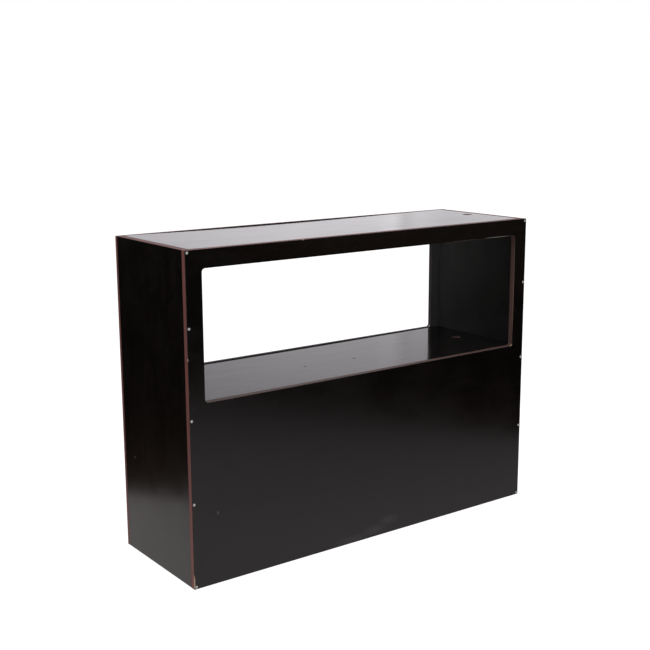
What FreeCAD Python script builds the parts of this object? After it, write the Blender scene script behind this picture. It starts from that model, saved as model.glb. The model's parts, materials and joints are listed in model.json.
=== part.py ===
"""Bar counter: a tall box of dark film-faced plywood with a see-through shelf window.

Front and back panels overlay the edges of two side panels and are screwed to them. Four
horizontal boards (counter top, window shelf, storage shelf, bottom board) lie between the
four walls on short end battens. The origin is the middle of the footprint on the floor,
+X runs to the right along the front, +Y to the staff side and +Z up. Millimetres.
"""

import FreeCAD
import Part
import math
import os

import Sketcher

X_AXIS = FreeCAD.Vector(1, 0, 0)
Y_AXIS = FreeCAD.Vector(0, 1, 0)
Z_AXIS = FreeCAD.Vector(0, 0, 1)
QUARTER_TURN = math.pi / 2
HALF_TURN = FreeCAD.Rotation(Z_AXIS, 180)
TOUCH = 0.001

# ------------------------------------------------------------------ driving sizes

DRIVING = {
    # the box
    "overall_width": 1475,
    "overall_depth": 475,
    "overall_height": 1100,
    "board": 21,
    "back_board": 15,
    "fit_gap": 0.3,
    "arris": 0.8,
    # the window, cut through front and back above the window shelf
    "front_stile": 58,
    "back_stile": 67,
    "top_rail": 60,
    "sill_height": 613,
    "back_sill_lip": 2,
    "window_corner": 12,
    # the staff side below the window
    "middle_rail": 80,
    "storage_shelf_top": 318,
    "bottom_board_top": 61,
    # cable holes
    "cable_hole": 36,
    "top_hole_from_right": 72,
    "shelf_hole_from_right": 118,
    "cable_from_back": 227,
    # end battens
    "batten": 28,
    "batten_end_gap": 6,
    "wall_screw_inset": 40,
    "lift_screw_inset": 95,
    # screws through the front and back panels
    "screw_edge_inset": 7.5,
    "screw_end_inset": 7.5,
    "low_screw_height": 287,
    "middle_screw_height": 562,
    "high_screw_height": 857,
    # countersunk screws and the holes that take them
    "panel_screw": 50,
    "batten_screw": 40,
    "screw_head": 8.6,
    "screw_shank": 4,
    "screw_tip": 6,
    "screw_point": 1,
    "screw_clearance": 0.3,
    "screw_sides": 8,
}

DERIVED = {
    "inner_width": "=overall_width - 2 * board",
    "inner_depth": "=overall_depth - board - back_board",
    "inner_front": "=board - overall_depth / 2",
    "inner_back": "=overall_depth / 2 - back_board",
    "inner_middle": "=(board - back_board) / 2",
    "board_length": "=inner_width - 2 * fit_gap",
    "board_depth": "=inner_depth - 2 * fit_gap",
    "window_top": "=overall_height - top_rail",
    "back_sill": "=sill_height + back_sill_lip",
    "top_screw_height": "=overall_height - screw_end_inset",
    "batten_length": "=inner_depth - 2 * batten_end_gap",
    "screw_cone": "=(screw_head - screw_shank) / 2",
}

SCREW_HEIGHTS = (
    "screw_end_inset",
    "low_screw_height",
    "middle_screw_height",
    "high_screw_height",
    "top_screw_height",
)

# each horizontal board, with the height of its upper face
BOARD_TOPS = {
    "top_panel": "overall_height",
    "window_shelf": "sill_height",
    "storage_shelf": "storage_shelf_top",
    "bottom_panel": "bottom_board_top",
}

doc = FreeCAD.newDocument("bar_counter")
sheet = doc.addObject("Spreadsheet::Sheet", "sizes")


def fill_sheet():
    """Writes every size into the sheet, one row each, and gives its cell an alias."""
    rows = list(DRIVING.items()) + list(DERIVED.items())
    for row, (name, value) in enumerate(rows, start=1):
        sheet.set(f"A{row}", name)
        sheet.set(f"B{row}", str(value))
        sheet.setAlias(f"B{row}", name)
    doc.recompute()


def size(name):
    """The sheet's value of one size, as a plain number."""
    return float(sheet.get(name))


def bound(expression):
    """The expression with each size's name pointed at its cell in the sheet."""
    words = []
    for word in expression.split():
        bare = word.strip("()")
        known = bare in DRIVING or bare in DERIVED
        words.append(word.replace(bare, "sizes." + bare) if known else word)
    return " ".join(words)


def value(expression):
    """What an expression over the sheet's names is worth now."""
    return float(sheet.evalExpression(bound(expression)))


# ------------------------------------------------------------------ sketch helpers


def new_body(label):
    body = doc.addObject("PartDesign::Body", label)
    body.Label = label
    return body


def new_sketch(body, role, name):
    """A sketch on one of the body's own origin planes."""
    sketch = body.newObject("Sketcher::SketchObject", name)
    plane = next(part for part in body.Origin.OriginFeatures if part.Role == role)
    sketch.AttachmentSupport = [(plane, "")]
    sketch.MapMode = "FlatFace"
    return sketch


def pin_point(sketch, geometry, vertex, x, y):
    """Ties one point of a sketch to two expressions, measured from the sketch's origin."""
    for axis, kind, rule in ((-2, "DistanceX", x), (-1, "DistanceY", y)):
        if rule == "0":
            sketch.addConstraint(Sketcher.Constraint("PointOnObject", geometry, vertex, axis))
            continue
        added = sketch.addConstraint(
            Sketcher.Constraint(kind, -1, 1, geometry, vertex, value(rule))
        )
        sketch.setExpression(f"Constraints[{added}]", bound(rule))


def rectangle(sketch, left, bottom, right, top):
    """A closed outline whose every corner is tied to its own pair of expressions."""
    points = [(left, bottom), (right, bottom), (right, top), (left, top)]
    spots = [FreeCAD.Vector(value(x), value(y), 0) for x, y in points]
    count = len(spots)
    for index in range(count):
        sketch.addGeometry(Part.LineSegment(spots[index], spots[(index + 1) % count]))
    for index in range(count):
        after = (index + 1) % count
        sketch.addConstraint(Sketcher.Constraint("Coincident", index, 2, after, 1))
    for index, (x, y) in enumerate(points):
        pin_point(sketch, index, 1, x, y)


def rounded_rectangle(sketch, left, bottom, right, top, corner):
    """Four straight sides joined by quarter circles of one radius."""
    near_x, far_x = value(left), value(right)
    near_y, far_y = value(bottom), value(top)
    radius = value(corner)
    sides = [
        ((near_x + radius, near_y), (far_x - radius, near_y)),
        ((far_x, near_y + radius), (far_x, far_y - radius)),
        ((far_x - radius, far_y), (near_x + radius, far_y)),
        ((near_x, far_y - radius), (near_x, near_y + radius)),
    ]
    for start, end in sides:
        sketch.addGeometry(Part.LineSegment(FreeCAD.Vector(*start, 0), FreeCAD.Vector(*end, 0)))
    centres = [
        (far_x - radius, near_y + radius),
        (far_x - radius, far_y - radius),
        (near_x + radius, far_y - radius),
        (near_x + radius, near_y + radius),
    ]
    for index, centre in enumerate(centres):
        circle = Part.Circle(FreeCAD.Vector(*centre, 0), Z_AXIS, radius)
        begin = QUARTER_TURN * (index - 1)
        sketch.addGeometry(Part.ArcOfCircle(circle, begin, begin + QUARTER_TURN))
    count = len(sides)
    for index in range(count):
        arc = count + index
        after = (index + 1) % count
        sketch.addConstraint(Sketcher.Constraint("Tangent", index, 2, arc, 1))
        sketch.addConstraint(Sketcher.Constraint("Tangent", arc, 2, after, 1))
    for index, direction in enumerate(("Horizontal", "Vertical", "Horizontal", "Vertical")):
        sketch.addConstraint(Sketcher.Constraint(direction, index))
    for arc in range(count + 1, 2 * count):
        sketch.addConstraint(Sketcher.Constraint("Equal", count, arc))
    added = sketch.addConstraint(Sketcher.Constraint("Radius", count, radius))
    sketch.setExpression(f"Constraints[{added}]", bound(corner))
    for side, kind, rule in (
        (0, "DistanceY", bottom),
        (1, "DistanceX", right),
        (2, "DistanceY", top),
        (3, "DistanceX", left),
    ):
        added = sketch.addConstraint(Sketcher.Constraint(kind, -1, 1, side, 1, value(rule)))
        sketch.setExpression(f"Constraints[{added}]", bound(rule))


def circle(sketch, x, y, diameter):
    """One circle with its centre at a pair of expressions."""
    centre = FreeCAD.Vector(value(x), value(y), 0)
    sketch.addGeometry(Part.Circle(centre, Z_AXIS, value(diameter) / 2))
    pin_point(sketch, 0, 3, x, y)
    added = sketch.addConstraint(Sketcher.Constraint("Diameter", 0, value(diameter)))
    sketch.setExpression(f"Constraints[{added}]", bound(diameter))


# ------------------------------------------------------------------ feature helpers


def pad(body, sketch, length, reverse=False):
    feature = body.newObject("PartDesign::Pad", "Pad")
    feature.Profile = sketch
    feature.Reversed = reverse
    feature.setExpression("Length", bound(length))
    doc.recompute()


def cut_through(body, sketch, what):
    """Cuts the sketch right through; a cut that misses the wood is an error."""
    before = body.Shape.Volume
    feature = body.newObject("PartDesign::Pocket", "Pocket")
    feature.Profile = sketch
    feature.Type = "ThroughAll"
    feature.Midplane = True
    doc.recompute()
    if not body.Shape.Volume < before - TOUCH:
        raise RuntimeError(f"{body.Label}: {what} removed nothing")


def ease(body, wanted):
    """Takes the sharp arris off the edges that the given test picks."""
    base = body.Tip
    names = [
        f"Edge{number}"
        for number, edge in enumerate(base.Shape.Edges, start=1)
        if wanted(edge)
    ]
    if not names:
        raise RuntimeError(f"{body.Label}: no arris to ease")
    feature = body.newObject("PartDesign::Chamfer", "Chamfer")
    feature.Base = (base, names)
    feature.setExpression("Size", bound("arris"))
    doc.recompute()


def place(item, x, y, z, turned=False):
    """Puts a sub-part at three expressions, turned half round about +Z if asked."""
    if turned:
        item.Placement = FreeCAD.Placement(FreeCAD.Vector(), HALF_TURN)
    for axis, rule in (("x", x), ("y", y), ("z", z)):
        item.setExpression(f"Placement.Base.{axis}", bound(rule))


# ------------------------------------------------------------------ boards


def window_panel(label, thickness, stile, sill, storage):
    """A full-height panel with its outer face at local y = 0 and the window cut through.

    The staff side has a second, lower opening that starts flush with the bottom board.
    """
    body = new_body(label)
    outline = new_sketch(body, "XZ_Plane", "Outline")
    rectangle(outline, "0", "0", "overall_width", "overall_height")
    pad(body, outline, thickness, reverse=True)
    far_stile = f"overall_width - {stile}"
    window = new_sketch(body, "XZ_Plane", "Window")
    rounded_rectangle(window, stile, sill, far_stile, "window_top", "window_corner")
    cut_through(body, window, "window")
    if storage:
        opening = new_sketch(body, "XZ_Plane", "StorageOpening")
        top = "sill_height - middle_rail"
        rounded_rectangle(opening, stile, "bottom_board_top", far_stile, top, "window_corner")
        cut_through(body, opening, "storage opening")
    depth = size(thickness)

    def faces_arris(edge):
        spots = [vertex.Point.y for vertex in edge.Vertexes]
        outside = all(abs(spot) < TOUCH for spot in spots)
        inside = all(abs(spot - depth) < TOUCH for spot in spots)
        middle = edge.CenterOfMass
        rim = min(middle.x, size("overall_width") - middle.x)
        rim = min(rim, middle.z, size("overall_height") - middle.z)
        return outside or (inside and rim > TOUCH)

    ease(body, faces_arris)
    return body


def side_panel(label):
    """An end wall between front and back: outer face at local x = 0, front edge at y = 0."""
    body = new_body(label)
    outline = new_sketch(body, "YZ_Plane", "Outline")
    rectangle(outline, "0", "0", "inner_depth", "overall_height")
    pad(body, outline, "board")
    high = size("overall_height")

    def long_arris(edge):
        spots = [vertex.Point for vertex in edge.Vertexes]
        along = abs(spots[0].x - spots[-1].x) < TOUCH
        on_top = all(abs(spot.z - high) < TOUCH for spot in spots)
        on_foot = all(abs(spot.z) < TOUCH for spot in spots)
        return along and (on_top or on_foot)

    ease(body, long_arris)
    return body


def shelf_board(label, hole_from_right=None):
    """A horizontal board: corner at the local origin, underside at z = 0."""
    body = new_body(label)
    outline = new_sketch(body, "XY_Plane", "Outline")
    rectangle(outline, "0", "0", "board_length", "board_depth")
    pad(body, outline, "board")
    if hole_from_right:
        cable = new_sketch(body, "XY_Plane", "CableHole")
        along = f"board_length - {hole_from_right} + board + fit_gap"
        across = "board_depth - cable_from_back + back_board + fit_gap"
        circle(cable, along, across, "cable_hole")
        cut_through(body, cable, "cable hole")
    upper = size("board")
    ease(body, lambda edge: abs(edge.CenterOfMass.z - upper) < TOUCH)
    return body


def end_batten(label):
    """A square bar along Y: its wall face at local x = 0, its carrying face at z = batten."""
    body = new_body(label)
    section = new_sketch(body, "XZ_Plane", "Section")
    rectangle(section, "0", "0", "batten", "batten")
    pad(body, section, "batten_length", reverse=True)
    wide = size("batten")

    def free_arris(edge):
        spots = [vertex.Point for vertex in edge.Vertexes]
        away = all(abs(spot.x - wide) < TOUCH for spot in spots)
        under = all(abs(spot.z) < TOUCH for spot in spots)
        return away and under

    ease(body, free_arris)
    return body


# ------------------------------------------------------------------ screws and their holes


def turned_form(label, rings):
    """A few-sided spindle along +Z through rings of (height, radius), as one closed loft."""
    sections = []
    for height, radius in rings:
        ring = doc.addObject("Part::RegularPolygon", f"{label}_ring")
        ring.setExpression("Polygon", bound("screw_sides"))
        ring.setExpression("Circumradius", bound(radius))
        ring.setExpression("Placement.Base.z", bound(height))
        sections.append(ring)
    doc.recompute()
    form = doc.addObject("Part::Loft", label)
    form.Label = label
    form.Sections = sections
    form.Solid = True
    form.Ruled = True
    doc.recompute()
    return form


def countersunk_screw(label, length):
    """A flat head at z = 0, a cone down to the shank, and a point at the far end."""
    return turned_form(
        label,
        [
            ("0", "screw_head / 2"),
            ("screw_cone", "screw_shank / 2"),
            (f"{length} - screw_tip", "screw_shank / 2"),
            (length, "screw_point / 2"),
        ],
    )


def screw_cavity(label, length):
    """The countersink and hole for one screw, open above the face that the head sits in."""
    sink = "screw_head / 2 + screw_clearance"
    hole = "screw_shank / 2 + screw_clearance"
    return turned_form(
        label,
        [
            ("0 - screw_cone", sink),
            ("0", sink),
            ("screw_cone", hole),
            (f"{length} + screw_clearance", hole),
        ],
    )


def repeat(label, master, spots, direction):
    """Copies of one form, its z = 0 at each of the spots and its +Z along the direction."""
    turn = FreeCAD.Rotation(Z_AXIS, direction)
    copies = []
    for spot in spots:
        copy = master.Shape.copy()
        copy.Placement = FreeCAD.Placement(FreeCAD.Vector(*spot), turn)
        copies.append(copy)
    group = doc.addObject("Part::Feature", label)
    group.Label = label
    group.Shape = Part.Compound(copies)
    return group


def panel_screw_rows():
    """Rows of screws through the front and back panels into the side panels' edges."""
    along = size("overall_width") / 2 - size("screw_edge_inset")
    out = size("overall_depth") / 2
    rows = []
    for face, y, direction in (("front", -out, Y_AXIS), ("back", out, -Y_AXIS)):
        for side, x in (("left", -along), ("right", along)):
            spots = [(x, y, size(height)) for height in SCREW_HEIGHTS]
            pieces = (f"{face}_panel", f"{side}_side_panel")
            rows.append((f"{face}_{side}_screws", spots, direction, pieces))
    return rows


def wall_screw_rows():
    """Rows of screws through the end battens into the side panels."""
    reach = size("batten_length") / 2 - size("wall_screw_inset")
    middle = size("inner_middle")
    face = size("inner_width") / 2 - size("batten")
    drop = size("board") + size("batten") / 2
    rows = []
    for side, sign in (("left", -1), ("right", 1)):
        spots = [
            (sign * face, y, size(top) - drop)
            for top in BOARD_TOPS.values()
            for y in (middle - reach, middle + reach)
        ]
        pieces = [f"{side}_side_panel"] + [f"{side}_{label}_batten" for label in BOARD_TOPS]
        rows.append((f"{side}_batten_screws", spots, sign * X_AXIS, pieces))
    return rows


def lift_screw_rows():
    """Rows of screws up through the end battens into each board's underside."""
    reach = size("batten_length") / 2 - size("lift_screw_inset")
    middle = size("inner_middle")
    x = size("inner_width") / 2 - size("batten") / 2
    rows = []
    for label, top in BOARD_TOPS.items():
        z = size(top) - size("board") - size("batten")
        spots = [(side, middle + y, z) for side in (-x, x) for y in (-reach, reach)]
        pieces = (label, f"left_{label}_batten", f"right_{label}_batten")
        rows.append((f"{label}_fixing_screws", spots, Z_AXIS, pieces))
    return rows


def build_screws():
    """Every screw group, and for each wooden piece the cavities that its screws need."""
    kinds = {
        "panel_screw": panel_screw_rows(),
        "batten_screw": wall_screw_rows() + lift_screw_rows(),
    }
    groups = []
    cavities = {}
    for kind, rows in kinds.items():
        screw = countersunk_screw(f"{kind}_form", kind)
        cavity = screw_cavity(f"{kind}_cavity", kind)
        for label, spots, direction, pieces in rows:
            groups.append(repeat(label, screw, spots, direction))
            holes = repeat(f"{label}_holes", cavity, spots, direction)
            for piece in pieces:
                cavities.setdefault(piece, []).append(holes)
    return groups, cavities


def drilled(blank, holes):
    """The wooden piece with its screw holes, under the piece's own name."""
    label = blank.Label
    blank.Label = f"{label}_blank"
    tool = doc.addObject("Part::Compound", f"{label}_holes")
    tool.Links = holes
    cut = doc.addObject("Part::Cut", label)
    cut.Label = label
    cut.Base = blank
    cut.Tool = tool
    doc.recompute()
    if not cut.Shape.Volume < blank.Shape.Volume - TOUCH:
        raise RuntimeError(f"{label}: its screw holes removed nothing")
    return cut


# ------------------------------------------------------------------ the assembly


def build_walls():
    half_wide, half_deep = "overall_width / 2", "overall_depth / 2"
    front = window_panel("front_panel", "board", "front_stile", "sill_height", storage=False)
    place(front, f"0 - {half_wide}", f"0 - {half_deep}", "0")
    back = window_panel("back_panel", "back_board", "back_stile", "back_sill", storage=True)
    place(back, half_wide, half_deep, "0", turned=True)
    left = side_panel("left_side_panel")
    place(left, f"0 - {half_wide}", "inner_front", "0")
    right = side_panel("right_side_panel")
    place(right, half_wide, "inner_back", "0", turned=True)
    return [front, back, left, right]


def build_boards():
    cable_holes = {
        "top_panel": "top_hole_from_right",
        "window_shelf": "shelf_hole_from_right",
    }
    boards = []
    for label, top in BOARD_TOPS.items():
        item = shelf_board(label, cable_holes.get(label))
        place(item, "0 - board_length / 2", "inner_front + fit_gap", f"{top} - board")
        boards.append(item)
    return boards


def build_battens():
    battens = []
    for label, top in BOARD_TOPS.items():
        height = f"{top} - board - batten"
        left = end_batten(f"left_{label}_batten")
        place(left, "0 - inner_width / 2", "inner_front + batten_end_gap", height)
        right = end_batten(f"right_{label}_batten")
        place(right, "inner_width / 2", "inner_back - batten_end_gap", height, turned=True)
        battens += [left, right]
    return battens


def check(items):
    """Every object is in order, and every sub-part is a valid shape, before any is written."""
    for item in doc.Objects:
        if {"Invalid", "Error"} & set(item.State):
            raise RuntimeError(f"{item.Label}: {item.State}")
    for item in items:
        if item.Shape.isNull() or not item.Shape.isValid():
            raise RuntimeError(f"{item.Label}: bad shape")


def main():
    fill_sheet()
    wood = build_walls() + build_boards() + build_battens()
    doc.recompute()
    groups, cavities = build_screws()
    items = [drilled(blank, cavities[blank.Label]) for blank in wood] + groups
    doc.recompute()
    check(items)
    os.makedirs("parts", exist_ok=True)
    for item in items:
        item.Shape.exportStep(f"parts/{item.Label}.step")
        box = item.Shape.BoundBox
        print(
            f"{item.Label}: {len(item.Shape.Solids)} solid(s), "
            f"{box.XLength:.1f} x {box.YLength:.1f} x {box.ZLength:.1f}, "
            f"z {box.ZMin:.1f} to {box.ZMax:.1f}"
        )


main()
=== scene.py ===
# %% [markdown]
# # A bar counter of film-faced plywood
# The counter is a tall, narrow box of dark phenolic-faced plywood with a window cut through its front
# and back. The construction model already holds every board, batten and screw at its real place. This
# lesson dresses it: boards get their film and sealed edges, two long boards get the sag that their own
# weight gives them, and the plain screws become zinc screws with a cross recess.

# %% Load the construction model
import json

import bmesh
import bpy
import numpy as np
from math import degrees, pi, radians
from mathutils import Euler, Matrix, Quaternion, Vector


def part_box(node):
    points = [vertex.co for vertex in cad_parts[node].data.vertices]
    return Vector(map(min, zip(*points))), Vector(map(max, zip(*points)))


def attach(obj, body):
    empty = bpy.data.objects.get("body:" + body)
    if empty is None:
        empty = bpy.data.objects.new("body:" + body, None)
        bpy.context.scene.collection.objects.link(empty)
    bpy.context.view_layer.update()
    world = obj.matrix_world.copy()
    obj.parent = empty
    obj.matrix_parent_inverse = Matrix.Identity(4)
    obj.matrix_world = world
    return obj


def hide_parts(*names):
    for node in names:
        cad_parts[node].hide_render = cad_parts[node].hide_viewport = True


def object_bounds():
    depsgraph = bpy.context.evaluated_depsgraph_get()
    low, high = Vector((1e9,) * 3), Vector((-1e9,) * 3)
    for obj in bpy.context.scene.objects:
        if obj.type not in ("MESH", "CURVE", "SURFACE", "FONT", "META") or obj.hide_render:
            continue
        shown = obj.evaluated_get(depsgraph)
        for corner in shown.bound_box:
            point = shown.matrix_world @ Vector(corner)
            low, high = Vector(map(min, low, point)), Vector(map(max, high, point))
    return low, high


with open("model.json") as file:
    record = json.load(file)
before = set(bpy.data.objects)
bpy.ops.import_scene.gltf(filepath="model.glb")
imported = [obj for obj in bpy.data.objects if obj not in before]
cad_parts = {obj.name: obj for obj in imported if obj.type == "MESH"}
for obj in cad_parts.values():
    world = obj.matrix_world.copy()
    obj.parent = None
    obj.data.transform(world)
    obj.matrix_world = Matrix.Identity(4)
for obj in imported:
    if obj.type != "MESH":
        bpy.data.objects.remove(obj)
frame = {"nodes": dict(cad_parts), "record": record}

MM = 0.001
CAD_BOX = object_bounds()


def box_size(box):
    """The three sides of a box, from its low and high corner, to a tenth of a millimetre."""
    return [round(side, 4) for side in box[1] - box[0]]


print("construction model:", len(frame["nodes"]), "nodes,", box_size(CAD_BOX), "m")

# %% [markdown]
# ## The camera
# Eye height, distance and lens decide how fast the long front narrows towards its far end. A bar is
# looked at by a standing person, so the eye is about a metre and a half up, a few steps away from the
# left-hand corner. Aiming at a point and then turning about the line of sight keeps each value plain.

# %% Camera
EYE = Vector((-2.3535, -3.1549, 1.5455))
AIM = Vector((-0.2127, -0.2375, 0.8057))
ROLL = radians(-0.247)
LENS_MM = 61.08
SENSOR_MM = 36
FARTHEST_SEEN = 200


def aim_camera(eye, aim, roll, lens):
    """The camera's back axis runs from the aim to the eye, and the roll turns it about that axis."""
    camera = bpy.data.objects.new("camera", bpy.data.cameras.new("camera"))
    bpy.context.scene.collection.objects.link(camera)
    camera.data.lens = lens
    camera.data.sensor_width = SENSOR_MM
    camera.data.clip_end = FARTHEST_SEEN
    camera.location = eye
    camera.rotation_mode = "QUATERNION"
    camera.rotation_quaternion = (aim - eye).to_track_quat("-Z", "Y") @ Quaternion((0, 0, 1), roll)
    return camera


bpy.context.scene.camera = aim_camera(EYE, AIM, ROLL, LENS_MM)
SIGHT = Vector((AIM.x - EYE.x, AIM.y - EYE.y, 0)).normalized()
SIDEWAYS = Vector((SIGHT.y, -SIGHT.x, 0))
print("camera is", round((AIM - EYE).length, 2), "m from the front")

# %% [markdown]
# ## Small helpers for node trees
# A shader is a tree of nodes. Adding a node, setting its inputs and linking it are the same three acts
# every time, so they are one function each. An input takes either a plain value or another node's
# socket, and an underscore in a name stands for a space.

# %% Node helpers


def fill(tree, sockets, values):
    """Gives each socket its value, by a link where the value is another node's socket."""
    for socket, value in zip(sockets, values):
        if isinstance(value, bpy.types.NodeSocket):
            tree.links.new(value, socket)
        else:
            socket.default_value = value


def feed(node, **inputs):
    """Fills the inputs of a node by their names."""
    fill(node.id_data, [node.inputs[name.replace("_", " ")] for name in inputs], inputs.values())
    return node


def put(tree, kind, settings=None, **inputs):
    """Adds a shader node of one kind, with its settings, and feeds its inputs."""
    node = tree.nodes.new("ShaderNode" + kind)
    for name, value in (settings or {}).items():
        setattr(node, name, value)
    return feed(node, **inputs)


print("node helpers ready")

# %% Helpers for arithmetic


def maths(tree, operation, *values, clamp=False):
    """One step of arithmetic on numbers."""
    node = put(tree, "Math", dict(operation=operation, use_clamp=clamp))
    fill(tree, node.inputs, values)
    return node.outputs[0]


def times(tree, first, second, clamp=False):
    """The product of two numbers."""
    return maths(tree, "MULTIPLY", first, second, clamp=clamp)


def vectors(tree, operation, *values):
    """One step of arithmetic on vectors; what comes out is named Vector, or Value where it is a number."""
    node = put(tree, "VectorMath", dict(operation=operation))
    fill(tree, node.inputs, values)
    return node.outputs


def along(tree, vector, direction):
    """How far a point lies along a direction."""
    return vectors(tree, "DOT_PRODUCT", vector, direction)["Value"]


def weighted(tree, *parts):
    """Sum of (value, share) pairs, each value times its share."""
    total = 0.0
    for value, share in parts:
        total = maths(tree, "MULTIPLY_ADD", value, share, total)
    return total


def ramp(tree, value, start, end, low=0.0, high=1.0, smooth=True):
    """Carries a value from the stretch start..end to low..high, with eased or straight ends."""
    kind = "SMOOTHSTEP" if smooth else "LINEAR"
    node = put(tree, "MapRange", dict(interpolation_type=kind), Value=value)
    return feed(node, From_Min=start, From_Max=end, To_Min=low, To_Max=high).outputs[0]


print("arithmetic helpers ready")

# %% Helpers for mixing and noise


def mixed(tree, mask, first, second):
    """Goes from the first colour to the second as the mask goes from 0 to 1.

    A Mix node keeps sockets for numbers, vectors and colours side by side. Counted from 0, the mask
    is input 0, the colours are inputs 6 and 7, and the mixed colour is output 2.
    """
    node = put(tree, "Mix", dict(data_type="RGBA"))
    colours = [c if isinstance(c, bpy.types.NodeSocket) else (*c, 1) for c in (first, second)]
    fill(tree, (node.inputs[0], node.inputs[6], node.inputs[7]), (mask, *colours))
    return node.outputs[2]


def between(tree, mask, first, second):
    """Goes from the first number to the second as the mask goes from 0 to 1."""
    return put(tree, "Mix", Factor=mask, A=first, B=second).outputs[0]


def noise(tree, vector, sheet, stretch, detail=2.0, roughness=0.5):
    """Noise of the given number of waves per metre along each axis; every sheet has its own."""
    scaled = vectors(tree, "MULTIPLY", vector, stretch)["Vector"]
    texture = put(tree, "TexNoise", dict(noise_dimensions="4D"), Vector=scaled, W=sheet, Scale=1.0)
    return feed(texture, Detail=detail, Roughness=roughness).outputs["Fac"]


def blended(tree, share, first, second):
    """Goes from the first shader to the second as the share goes from 0 to 1."""
    node = put(tree, "MixShader")
    fill(tree, node.inputs, (share, first, second))
    return node.outputs[0]


print("helpers for mixing and noise ready")

# %% Helpers for materials and groups


def new_material(name):
    """A material and its node tree, emptied."""
    material = bpy.data.materials.new(name)
    material.use_nodes = True
    material.node_tree.nodes.clear()
    return material, material.node_tree


def finish_material(tree, height, distance=1.0, **inputs):
    """Wires a Principled shader to the output, with a bump from a height in metres over the distance."""
    bump = put(tree, "Bump", Height=height, Distance=distance, Strength=1.0).outputs[0]
    shader = put(tree, "BsdfPrincipled", Normal=bump, **inputs).outputs[0]
    put(tree, "OutputMaterial", Surface=shader)


def new_group(name, inputs, outputs):
    """An empty node group with named sockets: its tree, its inputs, and the node that takes its outputs."""
    tree = bpy.data.node_groups.new(name, "ShaderNodeTree")
    for label, kind in inputs.items():
        tree.interface.new_socket(label, in_out="INPUT", socket_type="NodeSocket" + kind)
    for label, kind in outputs.items():
        tree.interface.new_socket(label, in_out="OUTPUT", socket_type="NodeSocket" + kind)
    return tree, tree.nodes.new("NodeGroupInput").outputs, tree.nodes.new("NodeGroupOutput")


def use(tree, group, **inputs):
    """Places a node group in a tree and feeds it."""
    node = tree.nodes.new("ShaderNodeGroup")
    node.node_tree = group
    return feed(node, **inputs).outputs


print("helpers for materials and groups ready")

# %% [markdown]
# ## The studio
# A glossy dark board shows less of its own colour than of the room, so the room is made with care. The
# counter stands on a roll of pale paper, 2.72 m wide, that runs away from the viewer over a dark studio
# floor. Looked at directly, floor and backdrop are plain white. Reflected in the film, the paper is
# pale and ends at its real edges, which gives the front and the side their soft change from grey to
# near-black. The paper also keeps a little of the counter's shadow.
#
# Beside the paper the bare floor catches a little light, which is gone a good metre further out, and
# one far warm glow lies on it. The paper is measured in metres across the line of sight.

# %% Paper and bare floor, as mirror rays meet them
PAPER_WIDTH = 2.72
PAPER_MIDDLE = 0.16  # right of the line of sight
PAPER_LEVEL = 0.6  # brightness in a mirror ray, and what it loses per metre to the right
PAPER_FALLOFF = 0.155
PAPER_TINT = (1.06, 0.98, 0.985)
BARE_STRIP_COLOUR = (0.05, 0.032, 0.022)
BARE_STRIP = 1.2
GLOW_PLACE = Vector((5.3, -6.6, 0))
GLOW_REACH = 3.2
GLOW_COLOUR = (0.26, 0.15, 0.10)


def mirrored_floor(tree, where):
    """Mask of the paper, and the colour of the floor in mirror rays.

    The paper's colour is its tint times a level that falls evenly to the right. The bare floor is the
    strip's light, which eases to nothing away from the paper, with the round glow laid over it.
    """
    across = along(tree, where, SIDEWAYS)
    from_middle = maths(tree, "ABSOLUTE", maths(tree, "SUBTRACT", across, PAPER_MIDDLE))
    edge = PAPER_WIDTH / 2
    on_paper = maths(tree, "LESS_THAN", from_middle, edge)
    lost = times(tree, maths(tree, "MAXIMUM", across, 0.0), PAPER_FALLOFF)
    level = maths(tree, "SUBTRACT", PAPER_LEVEL, lost)
    paper = put(tree, "VectorMath", dict(operation="SCALE"), Vector=PAPER_TINT, Scale=level).outputs[0]
    near_paper = ramp(tree, from_middle, edge, edge + BARE_STRIP, 1.0, 0.0)
    from_glow = vectors(tree, "DISTANCE", where, GLOW_PLACE)["Value"]
    bare = mixed(tree, near_paper, (0, 0, 0), BARE_STRIP_COLOUR)
    bare = mixed(tree, ramp(tree, from_glow, 0.0, GLOW_REACH, 1.0, 0.0), bare, GLOW_COLOUR)
    return on_paper, mixed(tree, on_paper, bare, paper)


print("paper roll", PAPER_WIDTH, "m wide")

# %% Floor
PAPER_COLOUR = (0.82, 0.82, 0.82)
BARE_FLOOR_COLOUR = (0.07, 0.05, 0.042)
FLOOR_HALF = 60.0
FLOOR_DROP = 0.5 * MM
SHADOW_SHARE = 0.5  # how much of the true shadow the lens sees
WHITE_LEVEL = 1.66


def paper_material():
    """Lens rays see white with a share of the true shaded paper; mirror rays see the lit strip of paper."""
    material, tree = new_material("paper_floor")
    path = put(tree, "LightPath").outputs
    direct = maths(tree, "MAXIMUM", path["Is Camera Ray"], path["Is Transmission Ray"])
    on_paper, mirrored = mirrored_floor(tree, put(tree, "TexCoord").outputs["Object"])
    lit_colour = mixed(tree, maths(tree, "MAXIMUM", on_paper, direct), BARE_FLOOR_COLOUR, PAPER_COLOUR)
    paper = put(tree, "BsdfDiffuse", Color=lit_colour).outputs[0]
    strength = ramp(tree, direct, 0.0, 1.0, 1.0, WHITE_LEVEL, smooth=False)
    seen = put(tree, "Emission", Color=mixed(tree, direct, mirrored, (1, 1, 1)), Strength=strength).outputs[0]
    share = maths(tree, "MAXIMUM", times(tree, direct, 1 - SHADOW_SHARE), path["Is Glossy Ray"])
    topside = blended(tree, share, paper, seen)
    underside = put(tree, "BsdfTransparent").outputs[0]
    back = put(tree, "NewGeometry").outputs["Backfacing"]
    put(tree, "OutputMaterial", Surface=blended(tree, back, topside, underside))
    return material


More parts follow.
